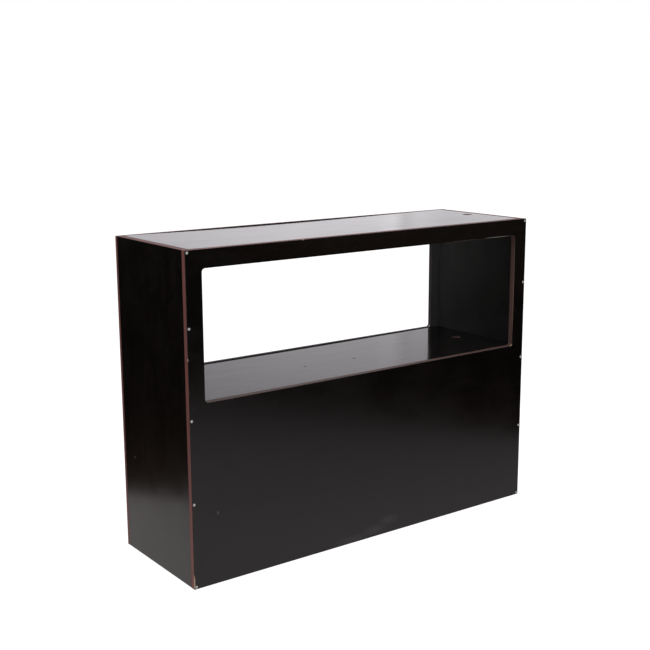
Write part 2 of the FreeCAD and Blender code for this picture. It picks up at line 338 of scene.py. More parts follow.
def lay_floor(half):
    """One square sheet just below the counter, facing up."""
    corners = np.array([[-1, -1], [1, -1], [1, 1], [-1, 1]]) * half
    mesh = bpy.data.meshes.new("floor")
    mesh.from_pydata(np.c_[corners, np.full(4, -FLOOR_DROP)].tolist(), [], [[0, 1, 2, 3]])
    mesh.materials.append(paper_material())
    floor = bpy.data.objects.new("floor", mesh)
    bpy.context.scene.collection.objects.link(floor)
    return floor


lay_floor(FLOOR_HALF)
print("floor laid,", FLOOR_DROP / MM, "mm below the counter")

# %% [markdown]
# The room beyond the paper is the world. A direction in the world is a point on a sphere, so the room's
# light is a formula of height and of how far round from the line of sight a ray points: bright behind
# the counter, dim beside and behind the viewer, and soft again overhead. One lit panel of the backdrop
# ends a little right of the middle, and that seam shows in the counter top and the shelf.
#
# A direction has length 1, so its height goes from 0 at the horizon to 1 overhead, and ahead goes from
# 1 along the line of sight to -1 behind the viewer. Each zone below gives where it starts and where it
# is full, and the levels there.

# %% Levels of the room
BACKDROP_SWEEP = {  # level at each value of sideways over ahead; the seam is the drop at 0.07
    -0.15: 0.80, -0.03: 0.98, 0.045: 1.0, 0.062: 1.12, 0.072: 0.80, 0.084: 0.94, 0.11: 0.82,
}
SWEEP_REACH = 0.2
SWEEP_FULL = 1.2  # a colour ramp holds values up to 1, so it holds the levels over this one
LEAST_AHEAD = 0.05
BACKDROP_AHEAD = (0.35, 0.8)
BACKDROP_HEIGHT = (0.08, 0.3, 1.25 * SWEEP_FULL, 0.65 * SWEEP_FULL)
BACKDROP_TINT = (1.0, 0.965, 1.01)
OVERHEAD = (0.35, 0.8, 0.0, 0.6)
VIEWER_SIDE_HEIGHT = (0.15, 0.4)
VIEWER_SIDE = (-0.1, -0.4, 0.0, 1.5)
DIM_LEVEL = 0.12


def room_level(tree, direction):
    """Brightness of the room in a direction.

    The backdrop is its sweep from left to right times its falloff with height, where that is ahead.
    Beside it is the dim studio with the brighter of its two upper zones on top. The brighter of
    backdrop and studio counts, and nothing below the horizon does.
    """
    height = along(tree, direction, (0, 0, 1))
    ahead = along(tree, direction, SIGHT)
    turn = maths(tree, "DIVIDE", along(tree, direction, SIDEWAYS), maths(tree, "MAXIMUM", ahead, LEAST_AHEAD))
    sweep = put(tree, "ValToRGB", Fac=ramp(tree, turn, -SWEEP_REACH, SWEEP_REACH, smooth=False))
    stops = sweep.color_ramp.elements
    places = [0.5 + turned / SWEEP_REACH / 2 for turned in BACKDROP_SWEEP]
    for place in places[1:-1]:
        stops.new(place)
    for stop, place, level in zip(stops, places, BACKDROP_SWEEP.values()):
        stop.position = place
        stop.color = (level / SWEEP_FULL,) * 3 + (1,)
    falloff = ramp(tree, height, *BACKDROP_HEIGHT, smooth=False)
    backdrop = times(tree, sweep.outputs[0], falloff)
    backdrop = times(tree, backdrop, ramp(tree, ahead, *BACKDROP_AHEAD))
    behind = times(tree, ramp(tree, height, *VIEWER_SIDE_HEIGHT), ramp(tree, ahead, *VIEWER_SIDE))
    upper = maths(tree, "MAXIMUM", ramp(tree, height, *OVERHEAD), behind)
    room = maths(tree, "MAXIMUM", backdrop, maths(tree, "ADD", upper, DIM_LEVEL))
    return times(tree, room, maths(tree, "GREATER_THAN", height, 0.0))


print("backdrop in", len(BACKDROP_SWEEP), "levels, brightest", max(BACKDROP_SWEEP.values()))

# %% Room light
FILL = (-0.2, 0.6, 0.36, 0.95)  # the zone of the soft light that falls on dull surfaces


def light_room():
    """The lens sees a white room, mirror rays see its levels, and the fill is strongest from ahead."""
    world = bpy.data.worlds.new("studio")
    bpy.context.scene.world = world
    world.use_nodes = True
    tree = world.node_tree
    tree.nodes.clear()
    path = put(tree, "LightPath").outputs
    direct = maths(tree, "MAXIMUM", path["Is Camera Ray"], path["Is Transmission Ray"])
    direction = put(tree, "TexCoord").outputs["Generated"]
    mirrored = times(tree, path["Is Glossy Ray"], room_level(tree, direction))
    tint = mixed(tree, path["Is Glossy Ray"], (1, 1, 1), BACKDROP_TINT)
    seen = put(tree, "Background", Color=tint, Strength=maths(tree, "ADD", direct, mirrored)).outputs[0]
    soft_level = ramp(tree, along(tree, direction, SIGHT), *FILL)
    soft = put(tree, "Background", Color=(1, 1, 1, 1), Strength=soft_level).outputs[0]
    either = maths(tree, "MAXIMUM", direct, path["Is Glossy Ray"])
    put(tree, "OutputWorld", Surface=blended(tree, either, soft, seen))


light_room()
bpy.context.scene.view_settings.view_transform = "Standard"
print("room lit, fill", FILL[2], "to", FILL[3])

# %% [markdown]
# One large soft lamp hangs to the left of the counter, above head height. Its size keeps every shadow
# soft, and its side lights the left-hand end more than the front and leaves the right-hand reveal of
# the window in half shade. A second one hangs further off in front, to the right and too high for any
# face to mirror it to the viewer, and lifts the front to its plain level.

# %% Soft lamps
LAMPS = ((Vector((-2.6, -0.1, 2.9)), 50.0), (Vector((2.2, -4.0, 3.6)), 100.0))
LAMP_TARGET = Vector((0, 0, 0.7))
LAMP_SIDE = 1.6


def hang_softbox(place, target, side, power):
    """A square area lamp that faces its target."""
    lamp = bpy.data.lights.new("softbox", "AREA")
    lamp.size = side
    lamp.energy = power
    box = bpy.data.objects.new("softbox", lamp)
    box.location = place
    box.rotation_mode = "QUATERNION"
    box.rotation_quaternion = (target - place).to_track_quat("-Z", "Y")
    bpy.context.scene.collection.objects.link(box)
    return box


for place, power in LAMPS:
    hang_softbox(place, LAMP_TARGET, LAMP_SIDE, power)
    print("softbox", round((place - LAMP_TARGET).length, 2), "m away")

# %% [markdown]
# ## The finish of a board
# Film-faced plywood has two finishes on one board: the phenolic film on its two faces, and the sawn
# edges, sealed with red-brown edge paint. Which one a point belongs to is told by the way its surface
# faces: square to the sheet is film, in the sheet's plane is edge, and the eased arris lies between.
# Every board is first turned into the sheet's own coordinates: x along the grain of the face veneer, y
# across it, z through the thickness from the middle ply. One set of groups then serves all boards.

# %% Which finish a point has
FILM_FACING = (0.8, 0.97)
ARRIS_FACING = 0.707
ARRIS_SPREAD = (0.1, 0.25)


def section_group():
    """Masks of the film and the arris, from the size of the normal's part through the sheet.

    That part is near 1 on the film, 0 on a sawn edge and 0.7 on an arris.
    """
    outputs = {"Film": "Float", "Arris": "Float"}
    tree, given, result = new_group("board_section", {"Normal": "Vector"}, outputs)
    facing = maths(tree, "ABSOLUTE", along(tree, given["Normal"], (0, 0, 1)))
    off_arris = maths(tree, "ABSOLUTE", maths(tree, "SUBTRACT", facing, ARRIS_FACING))
    feed(result, Film=ramp(tree, facing, *FILM_FACING), Arris=ramp(tree, off_arris, *ARRIS_SPREAD, 1.0, 0.0))
    return tree


SECTION = section_group()
print("group", SECTION.name)

# %% [markdown]
# The film itself is smooth, near-black brown and satin. The veneer under it shows through: very low
# ripples along the grain, and its figure of bent lines that close into arches, which is a sine across
# the sheet whose start is bent by slow noise. The whole sheet waves a little, cleaning leaves cloudy
# patches of more and less gloss, and a few pale specks of dust lie on it. On some faces a painted
# sheen, a pale grey laid over the film, stands in for light, and on some sheets a painted shade factor
# darkens the brown. Boards that lie flat are wiped often, so their film is glossier, and low swirls in
# it bend the backdrop's reflection into faint wisps. Height goes to the bump in metres. Each pattern is
# noise with its own number of waves per metre along the grain, across it and through the sheet.

# %% Colours and patterns of the film
FINISH = {"Color": "Color", "Roughness": "Float", "Height": "Float"}  # what a finish group puts out
FILM_DARK = (0.0030, 0.0024, 0.0020)
FILM_LIGHT = (0.0071, 0.0052, 0.0045)
# painted sheen: the pale grey laid over the film where it stands in for light
PAINTED_SHEEN_COLOUR = (0.12, 0.12, 0.12)
DUST_COLOUR = (0.09, 0.085, 0.08)
STANDING_FILM = dict(Satin=0.23, Relief=0.6, Swirls=0.0)
LYING_FILM = dict(Satin=0.11, Relief=1.0, Swirls=1.0)

STREAKS = dict(stretch=(3, 60, 20), detail=3.0)
CLOUDS = dict(stretch=(7, 11, 5), detail=4.0, roughness=0.6)
PORES = dict(stretch=(38, 120, 40), roughness=0.6)
TONE_SHARES = (0.3, 0.2, 0.5)
TONE_SPAN = (0.40, 0.62)
CLOUD_SPAN = (0.35, 0.65)
GLOSS_SPREAD = 0.12
PAINTED_SHEEN_SPREAD = 0.05
DUST_CELLS = 90.0  # per metre
CLEAN_CELLS = 0.93
SPECK_SIZE = (0.05, 0.09)
DUST_DULLNESS = 0.4

RIPPLES = dict(stretch=(5, 210, 40), detail=3.0, roughness=0.6)
RIPPLE_HEIGHT = 0.012 * MM
WAVES = dict(stretch=(1.6, 2.6, 1), detail=1.0)
WAVE_HEIGHT = 0.05 * MM
SWIRLS = dict(stretch=(5, 13, 1))
SWIRL_HEIGHT = 0.4 * MM
FIGURE_BENDS = dict(stretch=(1.7, 5, 1))
FIGURE_BEND = 0.22
FIGURE_STEP = 11 * MM
FIGURE_HEIGHT = 0.008 * MM
print("figure lines", FIGURE_STEP / MM, "mm apart,", DUST_CELLS, "dust cells per metre")

# %% Phenolic film


def film_colour(tree, given, clouds, dust):
    """Brown that goes from dark to light with streaks, clouds and pores, darkened by a painted shade
    factor, under its painted sheen and its dust.
    """
    place, sheet = given["Position"], given["Sheet"]
    streaks = noise(tree, place, sheet, **STREAKS)
    pores = noise(tree, place, sheet, **PORES)
    tone = weighted(tree, *zip((streaks, clouds, pores), TONE_SHARES))
    brown = mixed(tree, ramp(tree, tone, *TONE_SPAN), FILM_DARK, FILM_LIGHT)
    # painted shade: the board's factor darkens its brown
    brown = mixed(tree, given["Shade"], (0, 0, 0), brown)
    # painted sheen: a pale grey laid over one face of the film, a little patchy with the clouds
    upper_face = maths(tree, "SIGN", along(tree, place, (0, 0, 1)))
    patchy = ramp(tree, clouds, *CLOUD_SPAN, 1 - PAINTED_SHEEN_SPREAD, 1 + PAINTED_SHEEN_SPREAD)
    painted_sheen = times(tree, times(tree, given["Haze"], upper_face), patchy, clamp=True)
    return mixed(tree, dust, mixed(tree, painted_sheen, brown, PAINTED_SHEEN_COLOUR), DUST_COLOUR)


def film_height(tree, given):
    """Ripples, waves, swirls and the figure, a sine across the sheet with its start bent by noise."""
    place, sheet = given["Position"], given["Sheet"]
    bend = times(tree, noise(tree, place, sheet, **FIGURE_BENDS), FIGURE_BEND)
    bent = maths(tree, "ADD", along(tree, place, (0, 1, 0)), bend)
    swirl_height = times(tree, given["Swirls"], SWIRL_HEIGHT)
    height = weighted(
        tree,
        (noise(tree, place, sheet, **RIPPLES), RIPPLE_HEIGHT),
        (noise(tree, place, sheet, **WAVES), WAVE_HEIGHT),
        (maths(tree, "SINE", times(tree, bent, 2 * pi / FIGURE_STEP)), FIGURE_HEIGHT),
        (noise(tree, place, sheet, **SWIRLS), swirl_height),
    )
    return times(tree, height, given["Relief"])


def film_group():
    """Colour, roughness and height of the phenolic film.

    Dust is a round speck in a few of the cells that fill the sheet. The roughness is the satin, more
    or less of it with the clouds, plus the dullness of the dust.
    """
    numbers = dict.fromkeys(("Sheet", "Shade", "Satin", "Relief", "Haze", "Swirls"), "Float")
    tree, given, result = new_group("phenolic_film", {"Position": "Vector", **numbers}, FINISH)
    clouds = noise(tree, given["Position"], given["Sheet"], **CLOUDS)
    specks = put(tree, "TexVoronoi", Vector=given["Position"], Scale=DUST_CELLS).outputs
    rare = maths(tree, "GREATER_THAN", along(tree, specks["Color"], (1, 0, 0)), CLEAN_CELLS)
    dust = times(tree, rare, ramp(tree, specks["Distance"], *SPECK_SIZE, 1.0, 0.0))
    cloudy = ramp(tree, clouds, *CLOUD_SPAN, 1 - GLOSS_SPREAD, 1 + GLOSS_SPREAD)
    feed(result, Roughness=weighted(tree, (cloudy, given["Satin"]), (dust, DUST_DULLNESS)))
    feed(result, Color=film_colour(tree, given, clouds, dust), Height=film_height(tree, given))
    return tree


FILM = film_group()
print("group", FILM.name)

# %% [markdown]
# The sawn edge shows the plies under its paint: fifteen veneers of 1.4 mm, every other one end grain,
# which drinks the paint and stays darker and rougher. Only the eased arris is rubbed, where bare pale
# wood shows in short broken lines, which are wear and also painted highlights along the arrises.

# %% Sealed edge
PLY = 1.4 * MM
PLY_BENDS = dict(stretch=(20, 20, 60))
PLY_WANDER = 1.2
PLY_LINE = (-0.5, 0.5)
PLY_HEIGHT = 0.05 * MM
EDGE_PAINT = (0.137, 0.043, 0.037)
END_GRAIN = (0.102, 0.032, 0.027)
# bare wood on rubbed arrises and chips, and also a painted highlight at the front sill's corner
BARE_WOOD_AND_HIGHLIGHT = (0.42, 0.29, 0.19)
RAW_PLY = (0.26, 0.20, 0.16)
GRIME = (0.016, 0.013, 0.012)
EDGE_PORES = dict(stretch=(700, 700, 500), roughness=0.7)
PORE_SOAK = (0.3, 0.7, 0.35, 1.0)
EDGE_PATCHES = dict(stretch=(9, 9, 30), detail=3.0)
PATCH_SOAK = (0.3, 0.7, 0.5, 1.0)
EDGE_ROUGHNESS = (0.55, 0.7)


def edge_group():
    """Colour, roughness and height of the painted edge.

    The plies are a cosine of the depth through the sheet, with its start bent by noise.
    """
    inputs = {"Position": "Vector", "Sheet": "Float"}
    tree, given, result = new_group("sealed_edge", inputs, FINISH)
    place, sheet = given["Position"], given["Sheet"]
    depth = times(tree, along(tree, place, (0, 0, 1)), pi / PLY)
    wander = times(tree, noise(tree, place, sheet, **PLY_BENDS), PLY_WANDER)
    plies = ramp(tree, maths(tree, "COSINE", maths(tree, "ADD", depth, wander)), *PLY_LINE)
    pores = noise(tree, place, sheet, **EDGE_PORES)
    end_grain = times(tree, plies, ramp(tree, pores, *PORE_SOAK))
    patches = ramp(tree, noise(tree, place, sheet, **EDGE_PATCHES), *PATCH_SOAK)
    paint = mixed(tree, times(tree, end_grain, patches), EDGE_PAINT, END_GRAIN)
    height = times(tree, times(tree, plies, pores), -PLY_HEIGHT)
    feed(result, Color=paint, Roughness=ramp(tree, end_grain, 0.0, 1.0, *EDGE_ROUGHNESS), Height=height)
    return tree


EDGE = edge_group()
print("group", EDGE.name, "with plies of", PLY / MM, "mm")

# %% [markdown]
# A chip, a scuff or a painted highlight is one small spot with a ragged outline: a distance from its
# middle, measured in its own lengths, with a little noise added before it is cut off.

# %% Spots of wear and painted highlight
RAGGED_WAVES = 600.0  # per metre
RAGGED_RIM = (0.75, 1.0)


def spot_group():
    """The mask is 1 inside an ellipsoid of the given half lengths, with a ragged rim."""
    inputs = {"Position": "Vector", "Place": "Vector", "Reach": "Vector"}
    tree, given, result = new_group("wear_and_highlight_spot", inputs, {"Mask": "Float"})
    offset = vectors(tree, "SUBTRACT", given["Position"], given["Place"])["Vector"]
    relative = vectors(tree, "DIVIDE", offset, given["Reach"])["Vector"]
    away = vectors(tree, "LENGTH", relative)["Value"]
    ragged = put(tree, "TexNoise", Vector=given["Position"], Scale=RAGGED_WAVES, Detail=3.0).outputs["Fac"]
    rim = maths(tree, "ADD", away, maths(tree, "SUBTRACT", ragged, 0.5))
    feed(result, Mask=ramp(tree, rim, *RAGGED_RIM, 1.0, 0.0))
    return tree


SPOT = spot_group()
print("group", SPOT.name)

# %% [markdown]
# A board's material puts the groups together. The mapping turns the board into sheet coordinates about
# its own middle, so the same plies, ripples and paint lie right in a wall, an end panel or a shelf. A
# board that lies between the walls has a joint all round it, and the shade in that gap is painted on
# its film close to its border as a dark, dull line. The sawn edges inside a window are handled
# all day and hold grime, where the outer edges stay red. The outermost veneer is soaked with the film's
# resin, so a thin dark line runs along both sides of every edge.

# %% Sheet coordinates
FACING_FRONT = (radians(90), 0, 0)
FACING_SIDE = (0, radians(90), 0)
LYING_FLAT = (0, 0, 0)


def sheet_position(tree, node_name, turn):
    """A point's place in the counter, and its place and normal in the sheet, from the board's middle."""
    low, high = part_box(node_name)
    middle = Euler(turn).to_matrix() @ ((low + high) / 2)
    source = put(tree, "TexCoord").outputs
    place = put(tree, "Mapping", Vector=source["Object"], Location=-middle, Rotation=turn)
    normal = put(tree, "Mapping", dict(vector_type="VECTOR"), Vector=source["Normal"], Rotation=turn)
    return source["Object"], place.outputs[0], normal.outputs[0]


def depths(tree, node_name, turn, place):
    """How far a point lies inside the sheet's nearest border, and how far below its nearer face."""
    low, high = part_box(node_name)
    half = Euler(turn).to_matrix() @ ((high - low) / 2)
    inside = []
    for axis, length in zip(((1, 0, 0), (0, 1, 0), (0, 0, 1)), half):
        inside.append(maths(tree, "SUBTRACT", abs(length), maths(tree, "ABSOLUTE", along(tree, place, axis))))
    return maths(tree, "MINIMUM", *inside[:2]), inside[2]


print("a wall's sheet is turned by", round(degrees(FACING_FRONT[0])), "degrees")

# %% Board material
FILM_IOR = 1.5
# painted shade of the joint gap round a board that lies between the walls
JOINT_SHADE = (0.012, 0.010, 0.009)
JOINT_REACH = (1.5 * MM, 4.5 * MM)
WINDOW_RIM = (20 * MM, 30 * MM)
RESIN_LINE = (1.3 * MM, 1.9 * MM)
RUBS = dict(stretch=(60, 60, 60), detail=4.0, roughness=0.7)
RUBBED_SPAN = (0.60, 0.72)
PAINTED_SHEEN_POWER = 2.0


def add_wear_and_highlights(tree, colour, roughness, where, marks):
    """Lays each mark, wear or painted highlight, over the board: middle and half lengths in millimetres,
    colour, any dullness.
    """
    for middle, reach, mark, *dullness in marks:
        mask = use(tree, SPOT, Position=where, Place=Vector(middle) * MM, Reach=Vector(reach) * MM)["Mask"]
        colour = mixed(tree, mask, colour, mark)
        for share in dullness:
            roughness = between(tree, times(tree, mask, share), roughness, 1.0)
    return colour, roughness


def film_plywood(node_name, turn, sheet, painted_shade=1.0, painted_sheen=0.0, painted_sheen_grows=None, rim=(0.0, GRIME), wear_and_highlights=()):
    """Film on the faces, painted plies on the edges, rubbed arrises, and the board's marks, some of which
    are painted highlights.

    The painted sheen, a pale grey that stands in for light, lies on the sheet's upper face where it is
    above 0 and on its lower face where it is below. It may grow with the square of the way from a start
    to an end along a direction of the counter. The painted shade factor darkens the film's brown. The
    rim is the share and the colour that the edges inside a window or a hole take on.
    """
    material, tree = new_material("film_plywood_" + node_name)
    where, place, normal = sheet_position(tree, node_name, turn)
    section = use(tree, SECTION, Normal=normal)
    # a painted sheen may grow along a direction, as light that brightens towards one end
    if painted_sheen_grows:
        direction, start, end = painted_sheen_grows
        way = ramp(tree, along(tree, where, direction), start, end, smooth=False)
        painted_sheen = times(tree, maths(tree, "POWER", way, PAINTED_SHEEN_POWER), painted_sheen)
    gloss = LYING_FILM if turn == LYING_FLAT else STANDING_FILM
    film = use(tree, FILM, Position=place, Sheet=sheet, Shade=painted_shade, Haze=painted_sheen, **gloss)
    edge = use(tree, EDGE, Position=place, Sheet=sheet)
    inside, below = depths(tree, node_name, turn, place)
    rim_share, rim_colour = rim
    paint = mixed(tree, ramp(tree, inside, *WINDOW_RIM, 0.0, rim_share), edge["Color"], rim_colour)
    dark = maths(tree, "MAXIMUM", section["Film"], ramp(tree, below, *RESIN_LINE, 1.0, 0.0))
    # rubbed arrises: bare wood in broken lines, partly wear and partly painted highlight
    broken = ramp(tree, noise(tree, place, sheet, **RUBS), *RUBBED_SPAN)
    rubbed_and_highlight = times(tree, section["Arris"], broken)
    colour = mixed(tree, rubbed_and_highlight, mixed(tree, dark, paint, film["Color"]), BARE_WOOD_AND_HIGHLIGHT)
    roughness = between(tree, section["Film"], edge["Roughness"], film["Roughness"])
    colour, roughness = add_wear_and_highlights(tree, colour, roughness, where, wear_and_highlights)
    # painted shade in the joint gap: a dark, dull band along the border of a lying board
    if turn == LYING_FLAT:
        joint = ramp(tree, inside, *JOINT_REACH, 1.0, 0.0)
        colour = mixed(tree, joint, colour, JOINT_SHADE)
        roughness = between(tree, joint, roughness, 1.0)
    height = between(tree, section["Film"], edge["Height"], film["Height"])
    finish_material(tree, height, Base_Color=colour, Roughness=roughness, IOR=FILM_IOR)
    return material


def dress(node_name, material):
    """Gives a construction node its material."""
    for slot in frame["nodes"][node_name].material_slots:
        slot.material = material


print("board material ready")

# %% [markdown]
# The walls keep the construction model's own solids, which have the windows, the eased arrises and the
# countersinks. The counter has been moved about and cleaned in a hurry, so a few marks show: chips on
# the front's arrises, a patch by the floor where wet mopping has dulled the film, and two small scuffs
# on the left-hand end. Pale and warm lines along the window's arrises and spots at its sill corners
# are painted highlights. The inside of the right-hand end, and the back's inner face near its
# right-hand end, have a painted sheen. A soft patch is made of pairs of marks, a pale one inside a
# fainter one.

# %% Walls
SCUFF = (0.07, 0.067, 0.064)
FAINT_SCUFF = (0.045, 0.043, 0.041)
FAINT_MOPPED = (0.0095, 0.0088, 0.0085)
MOPPED = (0.018, 0.0165, 0.016)
# painted highlights: pale and warm colours laid on arrises and corners where light would glint
PAINTED_HIGHLIGHT = (0.50, 0.46, 0.42)
PAINTED_WARM_HIGHLIGHT = (0.17, 0.105, 0.08)
DULL_PAINT = (0.075, 0.055, 0.042)
LEFT, FRONT = (round(CAD_BOX[0][axis] / MM, 1) for axis in (0, 1))
FRONT_WEAR_AND_HIGHLIGHTS = (
    ((-300, FRONT, 1100), (5, 2.5, 2.5), BARE_WOOD_AND_HIGHLIGHT),
    ((LEFT, FRONT, 25), (3, 3, 26), BARE_WOOD_AND_HIGHLIGHT),
    ((LEFT, FRONT, 760), (2, 2, 5), BARE_WOOD_AND_HIGHLIGHT),
    # painted highlights along the window's top rail, down its right-hand reveal and at its sill corner
    ((590, FRONT, 1040), (78, 1.4, 1.4), PAINTED_HIGHLIGHT),
    ((420, FRONT, 1040), (110, 1.0, 1.0), PAINTED_WARM_HIGHLIGHT),
    ((679.5, FRONT, 830), (1.4, 1.4, 200), PAINTED_WARM_HIGHLIGHT),
    ((672, FRONT, 617), (8, 3, 5), BARE_WOOD_AND_HIGHLIGHT),
    ((-644, FRONT, 241), (3.0, 1, 7), SCUFF),
    ((-100, FRONT, 15), (80, 1, 15), FAINT_MOPPED),
    ((6, FRONT, 26), (58, 1, 22), FAINT_MOPPED),
    ((72, FRONT, 48), (52, 1, 21), FAINT_MOPPED),
    ((-95, FRONT, 13), (42, 1, 9), MOPPED),
    ((4, FRONT, 25), (32, 1, 15), MOPPED),
    ((68, FRONT, 48), (27, 1, 12), MOPPED),
)
# a painted highlight at the corner of the back window's sill
BACK_HIGHLIGHTS = (
    ((662, 225, 620), (8, 6, 7), PAINTED_HIGHLIGHT),
)
LEFT_WEAR = (
    ((LEFT, 155, 344), (1, 7, 4), FAINT_SCUFF),
    ((LEFT, -7, 272), (1, 5, 5), FAINT_SCUFF),
)
WALLS = {
    # painted shade: the front's and the left-hand end's film is darkened, the front's most
    "front_panel": dict(turn=FACING_FRONT, sheet=1.3, painted_shade=0.45, rim=(0.6, DULL_PAINT), wear_and_highlights=FRONT_WEAR_AND_HIGHLIGHTS),
    # the back's inner face has a painted sheen near its right-hand end
    "back_panel": dict(
        turn=FACING_FRONT, sheet=2.9, painted_sheen=-1.0, painted_sheen_grows=((1, 0, 0), 0.55, 0.66),
        rim=(0.85, GRIME), wear_and_highlights=BACK_HIGHLIGHTS,
    ),
    "left_side_panel": dict(turn=FACING_SIDE, sheet=4.1, painted_shade=0.8, wear_and_highlights=LEFT_WEAR),
    # the right-hand end's inner face has a painted sheen that grows towards the back and up
    "right_side_panel": dict(turn=FACING_SIDE, sheet=5.7, painted_sheen=0.85, painted_sheen_grows=((0, 1, 0.6), 0.0, 0.81)),
}
for name, finish in WALLS.items():
    dress(name, film_plywood(name, **finish))
print("walls dressed:", ", ".join(WALLS))

# %% Inner boards
INNER_BOARDS = {"storage_shelf": 7.3, "bottom_panel": 8.3}
for name, sheet in INNER_BOARDS.items():
    dress(name, film_plywood(name, LYING_FLAT, sheet))
print("inner boards dressed:", ", ".join(INNER_BOARDS))

# %% [markdown]
# ## The two long boards that sag
# The counter top and the window shelf span the whole length and are held only at their ends, so they
# hang a few millimetres low in the middle. A beam that rests on its ends under an even load has a shape
# with a simple formula in the place along the span, and no board is evenly stiff, so it leans to its
# softer end. The board is a grid in its own plane; round the cable hole the grid gives way to rings that
# go from a circle to a square. Solidify then gives the thickness and Bevel the eased arrises. The board
# is cut a little short all round, which leaves the dark joint that shows between it and the walls.

# %% A board with a round hole
GRID_STEP = 30 * MM
HOLE_CELLS = 8
HOLE_PATCH = 2  # half side of the square patch round a hole, in the hole's radii
RINGS = 5


def grid_quads(rows, columns, start=0):
    """The four corner numbers of every cell of a grid whose points are numbered row by row."""
    corner = start + np.arange(rows - 1)[:, None] * columns + np.arange(columns - 1)[None, :]
    return np.stack([corner, corner + 1, corner + columns + 1, corner + columns], axis=-1)


def split_span(low, patch_low, patch_high, high):
    """Even steps up to the patch, a fixed number across it, and even steps beyond it."""
    before = np.linspace(low, patch_low, max(2, int((patch_low - low) / GRID_STEP) + 2))
    across = np.linspace(patch_low, patch_high, HOLE_CELLS + 1)
    after = np.linspace(patch_high, high, max(2, int((high - patch_high) / GRID_STEP) + 2))
    return np.concatenate([before[:-1], across, after[1:]]), len(before) - 1


def board_plane(low, high, centre, radius):
    """Points in the plane, and quads: the grid without the patch's cells, and the rings in the patch.

    A ring lies between the patch's square and the hole's circle, which is the square with each of its
    points pulled in to the radius; rings are even steps from one to the other.
    """
    half = HOLE_PATCH * radius
    xs, first_x = split_span(low.x, centre.x - half, centre.x + half, high.x)
    ys, first_y = split_span(low.y, centre.y - half, centre.y + half, high.y)
    points = np.stack(np.meshgrid(xs, ys), axis=-1).reshape(-1, 2)
    quads = grid_quads(len(ys), len(xs))
    open_cell = np.ones(quads.shape[:2], bool)
    open_cell[first_y:first_y + HOLE_CELLS, first_x:first_x + HOLE_CELLS] = False
    side = np.linspace(-half, half, HOLE_CELLS + 1)[:-1]
    square = np.concatenate([
        np.c_[side, np.full(HOLE_CELLS, -half)], np.c_[np.full(HOLE_CELLS, half), side],
        np.c_[-side, np.full(HOLE_CELLS, half)], np.c_[np.full(HOLE_CELLS, -half), -side],
    ])
    circle = square / np.linalg.norm(square, axis=1)[:, None] * radius
    blend = np.linspace(0, 1, RINGS)[:, None, None]
    rings = np.concatenate([square, square[:1]]) * (1 - blend) + np.concatenate([circle, circle[:1]]) * blend
    ring_quads = grid_quads(RINGS, 4 * HOLE_CELLS + 1, start=len(points))
    points = np.concatenate([points, rings.reshape(-1, 2) + (centre.x, centre.y)])
    return points, np.concatenate([quads[open_cell], ring_quads.reshape(-1, 4)])


def sag(x, support, depth, lean):
    """Drop of the board: depth (1 - s^2)(1 - s^2 / 5)(1 - lean s), with s from -1 to 1 between supports."""
    s = np.clip(x / support, -1, 1)
    return depth * (1 - s ** 2) * (1 - s ** 2 / 5) * (1 - lean * s)


print("helpers for boards with a hole ready")

# %% A piece from its points and faces
MERGE = 0.01 * MM


def new_piece(name, points, faces, material, slot, *replaced):
    """A piece with its place in its mesh, which rides on the counter in the stead of plain nodes."""
    mesh = bpy.data.meshes.new(name)
    mesh.from_pydata(points.tolist(), [], faces.tolist())
    mesh.materials.append(material)
    piece = bpy.data.objects.new(name, mesh)
    bpy.context.scene.collection.objects.link(piece)
    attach(piece, "root")
    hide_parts(*replaced)
    return piece


def merge_points(piece):
    """Closes seams: points in the same place become one, faces without area go, the rest is smooth."""
    shape = bmesh.new()
    shape.from_mesh(piece.data)
    bmesh.ops.remove_doubles(shape, verts=shape.verts, dist=MERGE)
    bmesh.ops.dissolve_degenerate(shape, edges=shape.edges, dist=MERGE / 10)
    shape.to_mesh(piece.data)
    shape.free()
    piece.data.shade_smooth()
    return len(piece.data.polygons)


print("points nearer than", MERGE / MM, "mm become one")

# %% Counter top and window shelf
ARRIS = 0.8 * MM
ARRIS_STEPS = 3
ARRIS_ANGLE = radians(50)
JOINT = Vector((1.4, 0.8, 0)) * MM
STAIN = (0.004, 0.0035, 0.003)
SHELF_WEAR = (
    ((70, -31, 613), (4, 11, 3), STAIN, 1.0),
    ((-145, -23, 613), (6, 6, 3), STAIN, 1.0),
    ((-415, 35, 613), (15, 14, 3), STAIN, 0.1),
)
SAGS = {  # hole, depth of the sag, how far it leans to the left, finish
    "top_panel": ("top_cable_hole", 2.9 * MM, 0.45, dict(sheet=9.2)),
    "window_shelf": (
        "shelf_cable_hole", 1.3 * MM, 0.2, dict(sheet=10.6, rim=(0.6, RAW_PLY), wear_and_highlights=SHELF_WEAR),
    ),
}
MOUNTS = {mount["name"]: mount for mount in frame["record"]["mounts"]}


def sagging_board(node_name, mount_name, depth, lean, finish):
    """The plane of the board's top face, lowered by its sag, thickened downwards and eased."""
    low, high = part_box(node_name)
    mount = MOUNTS[mount_name]
    centre, radius = Vector(mount["pos_m"]), mount["dims"]["r_mm"] * MM
    points, faces = board_plane(low + JOINT, high - JOINT, centre, radius)
    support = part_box("right_" + node_name + "_batten")[0].x
    level = high.z - sag(points[:, 0], support, depth, lean)
    material = film_plywood(node_name, LYING_FLAT, **finish)
    points = np.c_[points, level]
    board = new_piece(node_name + "_sagging", points, faces, material, "film_plywood", node_name)
    merge_points(board)
    thick = board.modifiers.new("thickness", "SOLIDIFY")
    thick.thickness, thick.offset = high.z - low.z, -1
    eased = board.modifiers.new("arris", "BEVEL")
    eased.width, eased.segments = ARRIS, ARRIS_STEPS
    eased.limit_method, eased.angle_limit = "ANGLE", ARRIS_ANGLE
    board.modifiers.new("flat_faces", "WEIGHTED_NORMAL")
    return board


